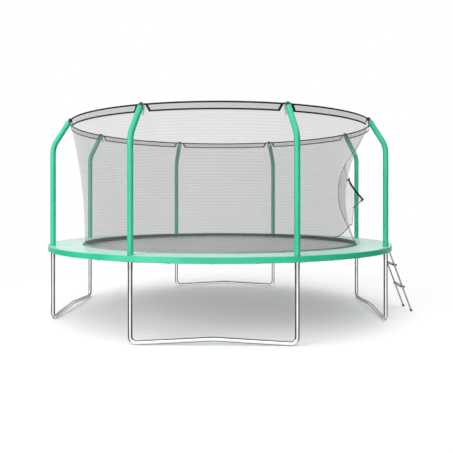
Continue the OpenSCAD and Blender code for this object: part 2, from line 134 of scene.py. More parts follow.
floor_radius, fade_from, fade_to = 9, 2.8, 5.6
alone()
bpy.ops.mesh.primitive_circle_add(vertices=96, radius=floor_radius, fill_type="NGON")
floor = bpy.context.object
floor.name = "studio_floor"
paint, tree, shader = new_surface("studio_floor_paint")
where = coordinates(tree)
mottle = noise(tree, where, Scale=0.6)
tree.links.new(two_tones(tree, mottle, 0.3, (0.93, 0.90, 0.905), 0.7, (0.96, 0.93, 0.935)),
               shader.inputs["Base Color"])
dial(shader, Roughness=0.75, Specular_IOR_Level=0.15,
     Emission_Color=(1, 1, 1, 1), Emission_Strength=0.27)
from_middle = tree.nodes.new("ShaderNodeVectorMath")
from_middle.operation = "LENGTH"
tree.links.new(where, from_middle.inputs[0])
fade = spread(tree, from_middle.outputs["Value"], 1.0, 0.0, From_Min=fade_from, From_Max=fade_to)
fade.interpolation_type = "SMOOTHSTEP"
tree.links.new(fade.outputs["Result"], shader.inputs["Alpha"])
floor.data.materials.append(paint)
floor.visible_glossy = False

sky = bpy.data.worlds.new("studio")
bpy.context.scene.world = sky
sky.use_nodes = True
tree = sky.node_tree
walls = tree.nodes["Background"]
plain, mirrored = (tree.nodes.new("ShaderNodeBackground") for _ in range(2))
dial(plain, Color=(1, 1, 1, 1), Strength=1.0)
dial(walls, Strength=1.0)
dial(mirrored, Strength=1.25)
heading = tree.nodes.new("ShaderNodeSeparateXYZ")
tree.links.new(coordinates(tree, "Generated"), heading.inputs["Vector"])
sideways = maths(tree, "ABSOLUTE", heading.outputs["X"])
upward = maths(tree, "ABSOLUTE", heading.outputs["Z"])
off_axis = maths(tree, "MAXIMUM", sideways, maths(tree, "MULTIPLY", upward, 0.75))
tree.links.new(two_tones(tree, sideways, 0.22, (1, 1, 1), 0.46, (0.030, 0.031, 0.033)),
               walls.inputs["Color"])
tree.links.new(two_tones(tree, off_axis, 0.52, (1, 1, 1), 0.80, (0.05, 0.051, 0.053)),
               mirrored.inputs["Color"])
ray = tree.nodes.new("ShaderNodeLightPath")
seen = walls.outputs["Background"]
for kind, background in (("Is Glossy Ray", mirrored), ("Is Camera Ray", plain)):
    choice = tree.nodes.new("ShaderNodeMixShader")
    tree.links.new(ray.outputs[kind], choice.inputs["Fac"])
    tree.links.new(seen, choice.inputs[1])
    tree.links.new(background.outputs["Background"], choice.inputs[2])
    seen = choice.outputs["Shader"]
tree.links.new(seen, tree.nodes["World Output"].inputs["Surface"])


def soft_light(name, place, aim, size, power):
    lamp = bpy.data.lights.new(name, "AREA")
    lamp.size, lamp.energy = size, power
    holder = bpy.data.objects.new(name, lamp)
    bpy.context.collection.objects.link(holder)
    holder.location = place
    holder.rotation_euler = (Vector(aim) - Vector(place)).to_track_quat("-Z", "Y").to_euler()


soft_light("overhead_light", place=(-0.8, -2.4, 6.0), aim=(0, 0, 0), size=16.0, power=585)
soft_light("front_light", place=(-7.0, -8.5, 4.2), aim=(0, 0, 1.2), size=5.0, power=480)
bpy.context.scene.view_settings.view_transform = "Standard"


# ---- Galvanised tube: rails, legs and bases ----
# Drawn steel tube, dipped bright: a thin zinc skin with faint cloudy patches, a little duller
# where it was handled. The bases are bent from one length and stand straight on the ground.
def emboss(tree, height, strength, depth):
    """Raises the surface by a height, as a bump in its shading."""
    bump = tree.nodes.new("ShaderNodeBump")
    dial(bump, Strength=strength, Distance=depth)
    tree.links.new(height, bump.inputs["Height"])
    tree.links.new(bump.outputs["Normal"], tree.nodes["Principled BSDF"].inputs["Normal"])


def metal(name, dark, light, rough, cloud=9.0, bump=0.03):
    """Bare or plated metal. rough is the least and the most roughness in its cloudy patches."""
    surface, tree, shader = new_surface(name)
    where = coordinates(tree)
    clouds = noise(tree, where, Scale=cloud, Detail=5)
    tree.links.new(two_tones(tree, clouds, 0.35, dark, 0.65, light), shader.inputs["Base Color"])
    tree.links.new(spread(tree, clouds, *rough).outputs["Result"], shader.inputs["Roughness"])
    emboss(tree, noise(tree, where, Scale=160), bump, 0.001)
    dial(shader, Metallic=1.0, Specular_Tint=(0.20, 0.20, 0.205, 1))
    return surface


def dress(surface, *names):
    """Gives CAD nodes their material and smooths their round sides."""
    for name in names:
        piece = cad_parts[name]
        piece.data.materials.clear()
        piece.data.materials.append(surface)
        alone(piece)
        bpy.ops.object.shade_smooth_by_angle(angle=math.radians(35))


bays = 8
each_post = range(1, bays + 1)
bright_zinc = metal("bright_zinc", (0.72, 0.73, 0.74), (0.80, 0.81, 0.82), rough=(0.05, 0.10),
                    bump=0.01)
dress(bright_zinc, *[f"leg_base_{side}" for side in ("front", "right", "back", "left")])
leg_zinc = metal("leg_zinc", (0.72, 0.73, 0.74), (0.80, 0.81, 0.82), rough=(0.06, 0.12), bump=0.01)
dress(leg_zinc, *[f"leg_post_{i}" for i in each_post], *[f"rail_{i}" for i in each_post])
tee_zinc = metal("tee_zinc", (0.60, 0.61, 0.62), (0.72, 0.73, 0.74), rough=(0.12, 0.20), bump=0.01)
dress(tee_zinc, *[f"tee_{i}" for i in each_post])

# ---- Screws ----
# Self-tapping screws with a yellow finish, one through the outer side of each tube joint.
# They keep the legs from sliding off their tees when the whole frame is lifted.
yellow_zinc = metal("yellow_zinc", (0.55, 0.36, 0.08), (0.80, 0.58, 0.20), rough=(0.25, 0.38))
dress(yellow_zinc, "frame_screws")


# ---- Springs ----
# Close-wound coil springs of bright wire, in tension between the frame and the mat's rings,
# each with a hook turned out of its last coil at both ends.
def join_all(pieces, name):
    alone(pieces[0])
    for piece in pieces:
        piece.select_set(True)
    bpy.ops.object.join()
    pieces[0].name = name
    return pieces[0]


def ring_through(name, points):
    """A closed line of edges through the points."""
    alone()
    bpy.ops.mesh.primitive_circle_add(vertices=len(points), radius=1)
    line = bpy.context.object
    line.name = name
    for vertex, point in zip(line.data.vertices, points):
        vertex.co = point
    return line


def pick(piece, kind, wanted):
    """Goes into edit mode with only the wanted edges or faces selected."""
    alone(piece)
    bpy.ops.object.mode_set(mode="EDIT")
    bpy.ops.mesh.select_mode(type=kind)
    bpy.ops.mesh.select_all(action="DESELECT")
    bpy.ops.object.mode_set(mode="OBJECT")
    for part in piece.data.edges if kind == "EDGE" else piece.data.polygons:
        part.select = wanted(part)
    bpy.ops.object.mode_set(mode="EDIT")


def close_mesh(smooth_angle):
    """Merges the active piece's doubled points, turns its faces outwards and smooths it."""
    bpy.ops.object.mode_set(mode="EDIT")
    bpy.ops.mesh.select_all(action="SELECT")
    bpy.ops.mesh.remove_doubles(threshold=1e-5)
    bpy.ops.mesh.normals_make_consistent(inside=False)
    bpy.ops.object.mode_set(mode="OBJECT")
    bpy.ops.object.shade_smooth_by_angle(angle=math.radians(smooth_angle))


def rod(name, points, radius, closed=False, sides=2):
    """A round rod or wire that follows the points."""
    line = ring_through(name, points)
    if not closed:
        ends = {0, len(points) - 1}
        pick(line, "EDGE", lambda edge: set(edge.vertices) == ends)
        bpy.ops.mesh.delete(type="EDGE")
    alone(line)
    bpy.ops.object.convert(target="CURVE")
    curve = bpy.context.object.data
    curve.dimensions = "3D"
    curve.bevel_depth, curve.bevel_resolution = radius, sides
    curve.use_fill_caps = not closed
    bpy.ops.object.convert(target="MESH")
    close_mesh(50)
    return bpy.context.object


def turn_piece(piece, degrees):
    """Turns a piece's mesh about the frame's upright axis."""
    piece.data.transform(Matrix.Rotation(math.radians(degrees), 4, "Z"))


def turned_copy(piece, degrees, name):
    """A copy with its own mesh, turned about the frame's upright axis."""
    copy = piece.copy()
    copy.data = piece.data.copy()
    turn_piece(copy, degrees)
    copy.name = name
    bpy.context.collection.objects.link(copy)
    return copy


def all_round(piece, count, stem):
    """The piece and its copies, evenly spaced round the frame and numbered from 1."""
    return [piece] + [turned_copy(piece, 360 / count * k, f"{stem}_{k + 1}")
                      for k in range(1, count)]


rail_h, frame_r = 0.897, 2.285
bay_angle, first_post = 360 / bays, -112.5
spring_low, spring_high = 2.0447, 2.2597
spring_count = 96
spring_angle = 360 / spring_count
first_spring = first_post + spring_angle / 2
coil_r, spring_wire_r = 0.0102, 0.0017
coil_from, coil_to = spring_low + 0.022, spring_high - 0.024
turns, turn_steps = 26, 9
helix = [(coil_from + (coil_to - coil_from) * k / (turns * turn_steps),
          coil_r * math.cos(2 * math.pi * k / turn_steps),
          rail_h + coil_r * math.sin(2 * math.pi * k / turn_steps))
         for k in range(turns * turn_steps + 1)]
inner_hook = [(spring_low + 0.001, 0, rail_h - 0.006), (spring_low - 0.003, 0, rail_h),
              (spring_low + 0.002, 0, rail_h + 0.006), (spring_low + 0.012, 0.001, rail_h + 0.006)]
outer_hook = [(spring_high - 0.014, 0, rail_h + 0.006), (spring_high - 0.004, 0, rail_h + 0.004),
              (spring_high, 0, rail_h - 0.003)]
spring_wire = metal("spring_wire", (0.62, 0.63, 0.65), (0.84, 0.85, 0.86), rough=(0.18, 0.28),
                    cloud=40)
one_spring = rod("spring_1", inner_hook + helix + outer_hook, spring_wire_r, sides=0)
one_spring.data.materials.append(spring_wire)
springs = all_round(one_spring, spring_count, "spring")
for k, spring in enumerate(springs):
    turn_piece(spring, first_spring)
    turn = math.radians(first_spring + spring_angle * k)
    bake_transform(spring)
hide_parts("springs")

# ---- Rings on the mat's edge ----
# Bent wire triangles, one for each spring. A triangle's wide side lies in a loop of webbing and
# the spring's hook goes round its narrow end.
ring_out, ring_in, ring_wire_r = 2.0444, 2.0068, 0.0023
triangle = [(ring_in + ring_wire_r, -0.0215, rail_h), (ring_in + ring_wire_r, 0.0215, rail_h),
            (ring_in + 0.006, 0.0225, rail_h), (ring_out - 0.006, 0.0045, rail_h),
            (ring_out - ring_wire_r, 0.002, rail_h), (ring_out - ring_wire_r, -0.002, rail_h),
            (ring_out - 0.006, -0.0045, rail_h), (ring_in + 0.006, -0.0225, rail_h)]
one_ring = rod("mat_ring", triangle, ring_wire_r, closed=True, sides=1)
turn_piece(one_ring, first_spring)
rings = join_all(all_round(one_ring, spring_count, "mat_ring"), "edge_rings")
rings.data.materials.append(spring_wire)
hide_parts("mat_rings")
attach(rings, "jump_mat")


# ---- Mat ----
# One disc of tightly woven black polypropylene, hemmed with rows of stitching all round and
# pulled flat by the springs. Short loops of webbing on its edge hold the wire triangles.
def turned(name, outline, steps):
    """An outline of (radius, height) points, spun right round the frame's upright axis."""
    piece = ring_through(name, [(radius, 0, height) for radius, height in outline])
    bpy.ops.object.mode_set(mode="EDIT")
    bpy.ops.mesh.select_mode(type="VERT")
    bpy.ops.mesh.select_all(action="SELECT")
    bpy.ops.mesh.spin(steps=steps, angle=2 * math.pi, center=(0, 0, 0), axis=(0, 0, 1))
    close_mesh(40)
    return piece


def threads(tree, where, axis, scale, wander):
    """Soft parallel bands across one axis."""
    bands = tree.nodes.new("ShaderNodeTexWave")
    bands.wave_type, bands.bands_direction = "BANDS", axis
    dial(bands, Scale=scale, Distortion=wander)
    tree.links.new(where, bands.inputs["Vector"])
    return bands.outputs["Fac"]


def woven(name, dark, light, thread, rough, coords="Object", bump=0.25, sheen=0.0, clear=None):
    """Cloth of crossed threads, with their spacing in metres. clear is the least and the most
    cover of an open mesh."""
    surface, tree, shader = new_surface(name)
    where = coordinates(tree, coords)
    scale = 0.314 / thread
    cross = maths(tree, "MAXIMUM", threads(tree, where, "X", scale, 0.0),
                  threads(tree, where, "Y", scale, 0.0))
    worn = maths(tree, "MULTIPLY", cross, noise(tree, where, Scale=3.0))
    tree.links.new(two_tones(tree, worn, 0.1, dark, 0.6, light), shader.inputs["Base Color"])
    emboss(tree, cross, bump, thread / 4)
    dial(shader, Roughness=rough)
    if sheen:
        dial(shader, Sheen_Weight=sheen, Sheen_Roughness=0.4)
    if clear:
        courses = threads(tree, where, "Y", 9.5, 1.2)
        thicker = maths(tree, "MULTIPLY_ADD", courses, 0.24, cross)
        cover = spread(tree, thicker, *clear, From_Max=1.18)
        cover.clamp = False
        tree.links.new(cover.outputs["Result"], shader.inputs["Alpha"])
    return surface


mat_low, mat_high, mat_edge = 0.8957, 0.8983, 2.0060
mat_weave = woven("mat_weave", (0.030, 0.030, 0.032), (0.085, 0.085, 0.088), thread=0.0022,
                  rough=0.36, bump=0.2, sheen=1.0)
mat = turned("mat_cloth", [(0.0, mat_low), (mat_edge, mat_low),
                           (mat_edge + 0.0001, (mat_low + mat_high) / 2), (mat_edge, mat_high),
                           (1.4, mat_high), (0.7, mat_high), (0.0, mat_high)], 192)
mat.data.materials.append(mat_weave)
webbing = woven("black_webbing", (0.004, 0.004, 0.004), (0.012, 0.012, 0.013), thread=0.0030,
                rough=0.85, bump=0.6)
band_in, band_out, band_low, band_high = 1.9440, 2.0055, mat_high + 0.0001, mat_high + 0.0012
edge_band = turned("mat_edge_band", [(band_in, band_low), (band_out, band_low),
                                     (band_out + 0.0002, band_high),
                                     (band_in + 0.0005, band_high)], 192)
edge_band.data.materials.append(webbing)
stitch_rows = [turned(f"mat_stitch_{k}", [(r - 0.0012, mat_high + 0.0011),
                                          (r + 0.0012, mat_high + 0.0011),
                                          (r, mat_high + 0.0018)], 192)
               for k, r in enumerate((1.952, 1.975, 1.998))]
stitching = join_all(stitch_rows, "mat_stitching")
thread = woven("grey_thread", (0.10, 0.10, 0.11), (0.25, 0.25, 0.26), thread=0.004, rough=0.7)
stitching.data.materials.append(thread)
alone()
bpy.ops.mesh.primitive_cube_add(size=1)
loop = bpy.context.object
bpy.ops.object.mode_set(mode="EDIT")
bpy.ops.mesh.subdivide(number_cuts=1)
bpy.ops.transform.resize(value=(0.062, 0.034, 0.0062))
bpy.ops.mesh.bevel(offset=0.0012, segments=1)
bpy.ops.transform.translate(value=(1.9862, 0, rail_h))
bpy.ops.object.mode_set(mode="OBJECT")
for vertex in loop.data.vertices:
    if vertex.co.x > ring_in:
        vertex.co.z = rail_h + (vertex.co.z - rail_h) * 0.9
turn_piece(loop, first_spring)
loops = join_all(all_round(loop, spring_count, "loop"), "mat_loops")
loops.data.materials.append(webbing)
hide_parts("mat")
for piece in (mat, edge_band, stitching, loops):
    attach(piece, "jump_mat")


# ---- Pad ----
# A ring of soft foam in a coated green cover, sewn from eight sections that meet in a radial
# seam at each pole. It lies over the springs, with a hole for each pole and a skirt outside.
def coated(name, dark, light, rough, wrinkle=0.10, across=(1, 1, 1), glossy=False):
    """Plastic coated cloth. across stretches its creases; glossy adds a clear film on top."""
    surface, tree, shader = new_surface(name)
    where = coordinates(tree)
    patches = noise(tree, where, Scale=2.2, Detail=4)
    tree.links.new(two_tones(tree, patches, 0.3, dark, 0.7, light), shader.inputs["Base Color"])
    stretch = tree.nodes.new("ShaderNodeMapping")
    dial(stretch, Scale=across)
    tree.links.new(where, stretch.inputs["Vector"])
    creases = noise(tree, stretch.outputs["Vector"], Scale=14, Detail=6)
    scrim = tree.nodes.new("ShaderNodeTexVoronoi")
    dial(scrim, Scale=420)
    tree.links.new(where, scrim.inputs["Vector"])
    relief = maths(tree, "MULTIPLY_ADD", scrim.outputs["Distance"], 0.12, creases)
    emboss(tree, relief, wrinkle, 0.006)
    tree.links.new(spread(tree, creases, *rough).outputs["Result"], shader.inputs["Roughness"])
    if glossy:
        dial(shader, Coat_Weight=1.0, Coat_Roughness=0.32, Coat_IOR=2.3,
             Sheen_Weight=1.0, Sheen_Roughness=0.22, Sheen_Tint=(0.90, 1.0, 0.97, 1))
    return surface


(_, _, pad_low), (_, _, pad_high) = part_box("pad")
pad_low, pad_high = pad_low + 0.001, pad_high - 0.001
pad_in, pad_out = 1.8970, 2.3408
pad_mid, pad_centre = (pad_low + pad_high) / 2, (pad_in + pad_out) / 2
stitch_inset = 0.018
pad_outline = [
    (pad_in + 0.004, pad_low + 0.003), (pad_in + 0.02, pad_low), (pad_in + 0.12, pad_low),
    (pad_centre, pad_low), (pad_out - 0.12, pad_low), (pad_out - 0.02, pad_low),
    (pad_out - 0.004, pad_low + 0.003), (pad_out, pad_mid), (pad_out - 0.004, pad_high - 0.004),
    (pad_out - stitch_inset, pad_high - 0.0005), (pad_out - 0.045, pad_high),
    (pad_out - 0.09, pad_high), (pad_out - 0.16, pad_high), (pad_centre, pad_high),
    (pad_in + 0.16, pad_high), (pad_in + 0.09, pad_high), (pad_in + 0.045, pad_high),
    (pad_in + stitch_inset, pad_high - 0.0005), (pad_in + 0.004, pad_high - 0.004),
    (pad_in, pad_mid)]
bay_steps = 40
pad = turned("edge_pad", pad_outline, bays * bay_steps)
seam_depth, seam_width, edge_fall, unevenness = 0.0050, 0.011, 0.0022, 0.0012
for vertex in pad.data.vertices:
    radius = math.hypot(vertex.co.x, vertex.co.y)
    in_bays = (math.degrees(math.atan2(vertex.co.y, vertex.co.x)) - first_post) / bay_angle
    # Points are drawn towards the seams, where the dip needs them.
    crowded = math.sin((in_bays % 1 * 2 - 1) * math.pi / 2)
    angle = math.radians(first_post + bay_angle * (math.floor(in_bays) + 0.5 + crowded / 2))
    to_seam = (1 - abs(crowded)) * math.radians(bay_angle / 2) * radius
    dip = seam_depth * math.exp(-(to_seam / seam_width) ** 2)
    across = (radius - pad_in) / (pad_out - pad_in)
    if vertex.co.z > pad_mid + 0.002:
        vertex.co.z -= dip + edge_fall * (2 * across - 1) ** 4
        waves = math.sin(angle * 37 + across * 4) * math.sin(angle * 23)
        vertex.co.z -= unevenness * (1 + waves) / 2
    elif vertex.co.z < pad_mid - 0.002:
        vertex.co.z += dip
    vertex.co.x, vertex.co.y = radius * math.cos(angle), radius * math.sin(angle)
sewn = []
for row in (pad_in + stitch_inset, pad_out - stitch_inset):
    points = [v.co + Vector((0, 0, 0.0003)) for v in pad.data.vertices
              if abs(math.hypot(v.co.x, v.co.y) - row) < 1e-4 and v.co.z > pad_mid]
    points.sort(key=lambda point: math.atan2(point.y, point.x))
    sewn.append(rod(f"pad_stitch_{round(row)}", points, radius=0.0009, closed=True,
                    sides=0))
pad_stitching = join_all(sewn, "pad_stitching")
pole_hole_r = 0.0292
alone()
bpy.ops.mesh.primitive_cylinder_add(vertices=32, radius=pole_hole_r, depth=0.08,
                                    location=(frame_r, 0, pad_mid))
cutter = bpy.context.object
bpy.ops.object.transform_apply(location=True, rotation=True, scale=True)
turn_piece(cutter, first_post)
cutters = join_all(all_round(cutter, bays, "cutter"), "pole_hole_cutter")
alone(pad)
holes = pad.modifiers.new("pole_holes", "BOOLEAN")
holes.operation, holes.object, holes.solver = "DIFFERENCE", cutters, "EXACT"
bpy.ops.object.modifier_apply(modifier=holes.name)
bpy.data.objects.remove(cutters)
alone(pad)
bpy.ops.object.shade_smooth_by_angle(angle=math.radians(45))
# The cover's colour is the skirt's green paled to mint. The paling is painted reflection of the
# bright surroundings, which the top shows at a low view; the clear film and sheen on top are real
# shine.
pad_cover = coated("pad_cover", (0.270, 0.790, 0.620), (0.310, 0.860, 0.700), rough=(0.40, 0.55),
                   wrinkle=0.04, glossy=True)
pad.data.materials.append(pad_cover)
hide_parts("pad")
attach(pad, "frame")

# ---- Pad's seams and ties ----
# A flat welt covers the radial seam between two sections. Short black bands of elastic under
# the pad go round the rail and keep the ring in place.
posts = [first_post + bay_angle * k for k in range(bays)]
round_pole = 0.040
welts = []
for post in posts:
    for low, high in ((pad_in + 0.006, frame_r - round_pole),
                      (frame_r + round_pole, pad_out - 0.010)):
        points = [(low + (high - low) * k / 6, 0, pad_high - 0.0052) for k in range(7)]
        welts.append(rod("welt", points, radius=0.0028, sides=1))
        turn_piece(welts[-1], post)
pad_welts = join_all(welts, "pad_welts")
welt_cover = coated("welt_cover", (0.030, 0.360, 0.210), (0.045, 0.430, 0.260), rough=(0.35, 0.5))
for piece in (pad_welts, pad_stitching):
    piece.data.materials.append(welt_cover)
    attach(piece, "frame")
tie_r, tie_width = 0.0268, 5
round_rail = [(frame_r + tie_r * math.cos(math.radians(a)), 0,
               rail_h + tie_r * math.sin(math.radians(a))) for a in range(-250, 71, 20)]
tie = rod("pad_tie", [(frame_r - 0.016, 0, pad_low)] + round_rail + [(frame_r + 0.016, 0, pad_low)],
          radius=0.0016, sides=1)
tie.data.transform(Matrix.Scale(tie_width, 4, (0, 1, 0)))
# The ladder hangs at angle 0, so no tie is there.
ties = [turned_copy(tie, post + offset, "tie") for post in posts for offset in (11.0, 22.5, 34.0)
        if post + offset != 0]
bpy.data.objects.remove(tie)
pad_ties = join_all(ties, "pad_ties")
pad_ties.data.materials.append(webbing)
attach(pad_ties, "frame")

# ---- Pad's skirt ----
# A strip of the same coated cloth, sewn to the pad's outer edge and hemmed at its foot. It hangs
# over the rail and hides it. Two narrow parts beside the ladder's rails are separate pieces.
(_, _, skirt_low), (skirt_out, _, _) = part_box("pad_skirt")
skirt_low, skirt_high, skirt_r = skirt_low + 0.0005, pad_high - 0.0045, skirt_out - 0.0004
hem_top, sway = skirt_low + 0.0125, 0.0018
skirt_outline = [(skirt_r - 0.0022, skirt_high), (skirt_r - 0.0010, skirt_high),
                 (skirt_r - 0.0002, skirt_high - 0.004), (skirt_r - 0.0002, hem_top + 0.0015),
                 (skirt_r + 0.0002, hem_top), (skirt_r + 0.0002, skirt_low + 0.001),
                 (skirt_r - 0.0008, skirt_low), (skirt_r - 0.0022, skirt_low + 0.001),
                 (skirt_r - 0.0022, hem_top), (skirt_r - 0.0018, hem_top + 0.0015),
                 (skirt_r - 0.0018, skirt_high - 0.008)]
skirt = turned("pad_skirt_cloth", skirt_outline, 384)
for vertex in skirt.data.vertices:
    turn = math.atan2(vertex.co.y, vertex.co.x)
    drop = (skirt_high - vertex.co.z) / (skirt_high - skirt_low)
    wave = -sway * drop * (1 + math.sin(turn * 61) * math.sin(turn * 17 + 1)) / 2
    radius = math.hypot(vertex.co.x, vertex.co.y)
    vertex.co.x *= (radius + wave) / radius
    vertex.co.y *= (radius + wave) / radius
skirt_cover = coated("skirt_cover", (0.020, 0.470, 0.250), (0.030, 0.560, 0.330),
                     rough=(0.34, 0.48))
skirt.data.materials.append(skirt_cover)
fold_half = 1.1  # degrees to each side of a rail
folds = []
for rail in ("front", "rear"):
    low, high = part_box(f"ladder_rail_{rail}")
    turn = math.degrees(math.asin((low[1] + high[1]) / 2 / skirt_r))
    pick(skirt, "FACE", lambda face: abs(
        math.degrees(math.atan2(face.center.y, face.center.x)) - turn) < fold_half)
    bpy.ops.mesh.separate(type="SELECTED")
    bpy.ops.object.mode_set(mode="OBJECT")
    fold = next(piece for piece in bpy.context.selected_objects if piece != skirt)
    fold.name = f"pad_skirt_fold_{rail}"
    folds.append(fold)
for piece in [skirt] + folds:
    alone(piece)
    bpy.ops.object.mode_set(mode="EDIT")
    bpy.ops.mesh.select_all(action="SELECT")
    bpy.ops.mesh.fill_holes(sides=0)
    bpy.ops.mesh.normals_make_consistent(inside=False)
    bpy.ops.object.mode_set(mode="OBJECT")
    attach(piece, "frame")
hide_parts("pad_skirt")
for fold in folds:
    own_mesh(fold)

# ---- Net poles and their sleeves ----
# Bent steel tubes in tubes of foam, which a green coated sleeve holds. The sleeve is sewn up
# along one side and cut off square at its top, just under the cap.
pole_zinc = metal("pole_zinc", (0.58, 0.59, 0.61), (0.76, 0.77, 0.78), rough=(0.2, 0.3))
dress(pole_zinc, *[f"net_pole_{i}" for i in each_post])
ring_h, ring_inset, lean = 2.564, 0.212, math.radians(31)
bend_r, sleeve_r, top_gap = 0.300, 0.0335, 0.0355
tangent = bend_r * math.tan(lean / 2)
bend_h = ring_h - ring_inset / math.tan(lean) - tangent
reach = ring_inset / math.sin(lean) - tangent
sleeve_foot = pad_high + 0.0008
straight = [(frame_r, 0, sleeve_foot + (bend_h - sleeve_foot) * k / 40) for k in range(40)]
bend = [(frame_r - bend_r + bend_r * math.cos(lean * k / 12), 0,
         bend_h + bend_r * math.sin(lean * k / 12)) for k in range(12)]
slant = []
for k in range(11):
    back = reach - (reach - top_gap) * k / 10
    slant.append((frame_r - ring_inset + back * math.sin(lean), 0, ring_h - back * math.cos(lean)))
sleeve = rod("sleeve_1", straight + bend + slant, sleeve_r, sides=6)
for vertex in sleeve.data.vertices:
    x, y, z = vertex.co
    across = Vector((x - frame_r, y))
    if sleeve_foot + 0.01 < z < bend_h and across.length > 0.005:
        wave = 0.0007 * math.sin(z * 41) * math.sin(z * 17 + 1) + 0.0004 * math.sin(z * 95 + 2)
        across *= 1 + (wave - 0.0004) / across.length
        vertex.co.x, vertex.co.y = frame_r + across.x, across.y
sleeve_seam = rod("sleeve_seam_1", straight, radius=0.002, sides=1)
sleeve_seam.data.transform(Matrix.Translation((sleeve_r - 0.001, 0, 0)))
sleeve_cover = coated("sleeve_cover", (0.021, 0.490, 0.270), (0.031, 0.590, 0.340),
                      rough=(0.34, 0.48), wrinkle=0.22, across=(0.5, 0.5, 5.0))
sleeve.data.materials.append(sleeve_cover)
sleeve_seam.data.materials.append(welt_cover)
for piece in (sleeve, sleeve_seam):
    turn_piece(piece, first_post)
sleeves = all_round(sleeve, bays, "sleeve")
sleeve_seams = all_round(sleeve_seam, bays, "sleeve_seam")
for piece in sleeves + sleeve_seams:
    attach(piece, "frame")
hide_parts("pole_sleeves")


# ---- Pole caps and ring rods ----
# Moulded black caps close the poles. Thin flexible rods run from cap to cap, and a short
# collar on each side of a cap takes their ends.
def moulded(name, dark, light, rough, grain=260):
    """Plastic or rubber with a fine moulded grain."""
    surface, tree, shader = new_surface(name)
    speck = noise(tree, coordinates(tree), Scale=grain)
    tree.links.new(two_tones(tree, speck, 0.3, dark, 0.7, light), shader.inputs["Base Color"])
    emboss(tree, speck, 0.12, 0.0008)
    dial(shader, Roughness=rough)
    return surface


cap_plastic = moulded("cap_plastic", (0.012, 0.012, 0.013), (0.030, 0.030, 0.032), rough=0.45)
dress(cap_plastic, "pole_caps", "step_caps")
rod_gloss = moulded("rod_gloss", (0.010, 0.010, 0.011), (0.022, 0.022, 0.024), rough=0.3, grain=90)
dress(rod_gloss, "ring_rods")
ring_r = frame_r - ring_inset
collars = []
for post in posts:
    for way in (-1, 1):
        angles = [math.radians(post) + way * a for a in (0.0128, 0.0165, 0.0202)]
        points = [(ring_r * math.cos(angle), ring_r * math.sin(angle), ring_h) for angle in angles]
        collars.append(rod("collar", points, radius=0.0130, sides=3))
ring_collars = join_all(collars, "ring_collars")
ring_collars.data.materials.append(cap_plastic)
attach(ring_collars, "frame")


# ---- Net wall ----
# Pale grey knitted mesh, sewn from panels. The ring holds it up and the hem pulls it down, so
# it is waisted between them, most of all beside the open doorway.
def cloth_grid(name, columns, rows, place, lengths):
    """A grid of cloth laid where place(s, t) says. lengths is its width and height in metres,
    which its weave follows."""
    alone()
    bpy.ops.mesh.primitive_grid_add(x_subdivisions=columns, y_subdivisions=rows, size=1)
    piece = bpy.context.object
    piece.name = name
    shares = [(v.co.x + 0.5, v.co.y + 0.5) for v in piece.data.vertices]
    weave = piece.data.uv_layers[0]
    for corner in piece.data.loops:
        s, t = shares[corner.vertex_index]
        weave.data[corner.index].uv = (s * lengths[0], t * lengths[1])
    for vertex, (s, t) in zip(piece.data.vertices, shares):
        vertex.co = place(s, t)
    bpy.ops.object.shade_smooth()
    return piece


def around(angle, radius, height):
    """The point at this angle in degrees and this radius from the frame's axis."""
    return (radius * math.cos(math.radians(angle)), radius * math.sin(math.radians(angle)), height)


def eased(k):
    k = min(1, max(0, k))
    return k * k * (3 - 2 * k)


def mixed(a, b, k):
    return a + (b - a) * k


foot_r, foot_h = 1.8801, 0.9640
head_r, head_h = 2.0560, 2.5500
net_rise = head_h - foot_h
door_side = bay_angle / 2


def waist(angle):
    """How far the wall is pulled in at half its height, by the angle round the frame."""
    near_front_edge = eased((angle % 360 - 262) / 75.5)
    near_rear_edge = 1 - eased((angle % 360 - door_side) / 60)
    return 0.050 + 0.125 * near_front_edge + 0.030 * near_rear_edge


def wall_point(angle, t):
    flutter = 0.0022 * math.sin(math.radians(angle) * 48) * math.sin(math.pi * t)
    pulled_in = waist(angle) * math.sin(math.pi * t ** 0.9)
    return around(angle, mixed(foot_r, head_r, t) - pulled_in + flutter, foot_h + net_rise * t)


mesh_cloth = woven("net_mesh", (0.15, 0.15, 0.153), (0.25, 0.25, 0.255), thread=0.011,
                   rough=0.85, coords="UV", bump=0.1, sheen=0.7, clear=(0.15, 0.36))
bay_columns, wall_rows, wall_length = 28, 44, 10.83
wall = cloth_grid("net_wall_cloth", (bays - 1) * bay_columns, wall_rows,
                  lambda s, t: wall_point(door_side + (360 - bay_angle) * s, t),
                  (wall_length, net_rise))
wall.data.materials.append(mesh_cloth)
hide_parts("net_wall")
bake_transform(wall)

# ---- Doorway ----
# The wall's eighth bay opens along a curved zip. Its front half is pulled in; the loose rear half
# stands out from the wall, held by the seam above the zip and by the next panel.
zip_r, zip_pull = 0.845, 0.288
zip_top, zip_bend, zip_mid = 1.073, 0.318, 0.676
flap_tip, flap_out, flap_lift, flap_offset = 0.583, 0.100, 0.210, 0.150
cone_foot_r, cone_head_r, cone_rise = 1.8821, 2.0430, 1.5702
door_columns, door_rows, door_width = 24, 60, 0.74
seam_y, slider_room = -0.045, 0.0045


def cone_r(h):
    """The wall's radius at a height above the hem, before any pull."""
    return mixed(cone_foot_r, cone_head_r, h / cone_rise)


zip_centre = cone_r(zip_mid) - zip_pull + zip_r


def zip_arc(h):
    return zip_centre - math.sqrt(zip_r ** 2 - (h - zip_mid) ** 2)


def edge_x(h):
    """How far out the zipped edge of the front half is."""
    if h < zip_bend:
        return mixed(cone_foot_r, zip_arc(zip_bend), h / zip_bend)
    if h < zip_top:
        return zip_arc(h)
    k = (h - zip_top) / (net_rise - zip_top)
    return mixed(zip_arc(zip_top), head_r, k ** 1.15) + 0.035 * math.sin(math.pi * k)


